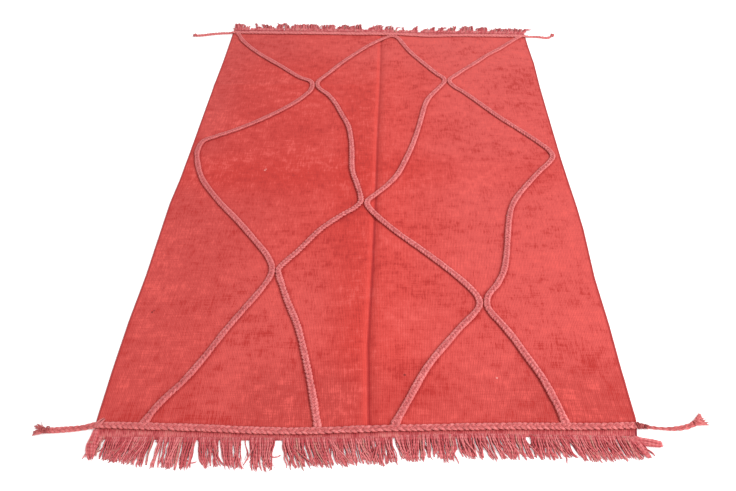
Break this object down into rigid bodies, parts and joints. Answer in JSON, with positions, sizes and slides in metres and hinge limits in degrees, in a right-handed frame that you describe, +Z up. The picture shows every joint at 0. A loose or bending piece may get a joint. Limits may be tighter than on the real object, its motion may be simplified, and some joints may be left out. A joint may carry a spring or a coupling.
{
  "type": "moroccan rug",
  "caption": "Flat-woven wool rug with plaited braids sewn over it in a loose lattice, a braid with free tails across each end, and fringed ends.",
  "frame": {"origin": "on the floor under the middle of the rug, fringes and tails included", "axes": "+X to the right along the near end, +Y from the near end to the far end, +Z up"},
  "size_m": [2.1439, 2.9353, 0.0191],
  "materials": {
    "coral_wool": "matt coral-red wool in a ribbed flat weave, with streaks where the dye varies",
    "pink_wool": "matt dusty-pink wool plaited in three thick strands",
    "rose_warp": "matt dark-rose wool warp ends, loosely twisted"
  },
  "bodies": {
    "root": {"cloth": "coral_wool", "field_braid_left": "pink_wool", "field_braid_middle": "pink_wool", "field_braid_right": "pink_wool", "end_braid_near": "pink_wool", "end_braid_far": "pink_wool", "fringe_near": "rose_warp", "fringe_far": "rose_warp"}
  },
  "joints": []
}
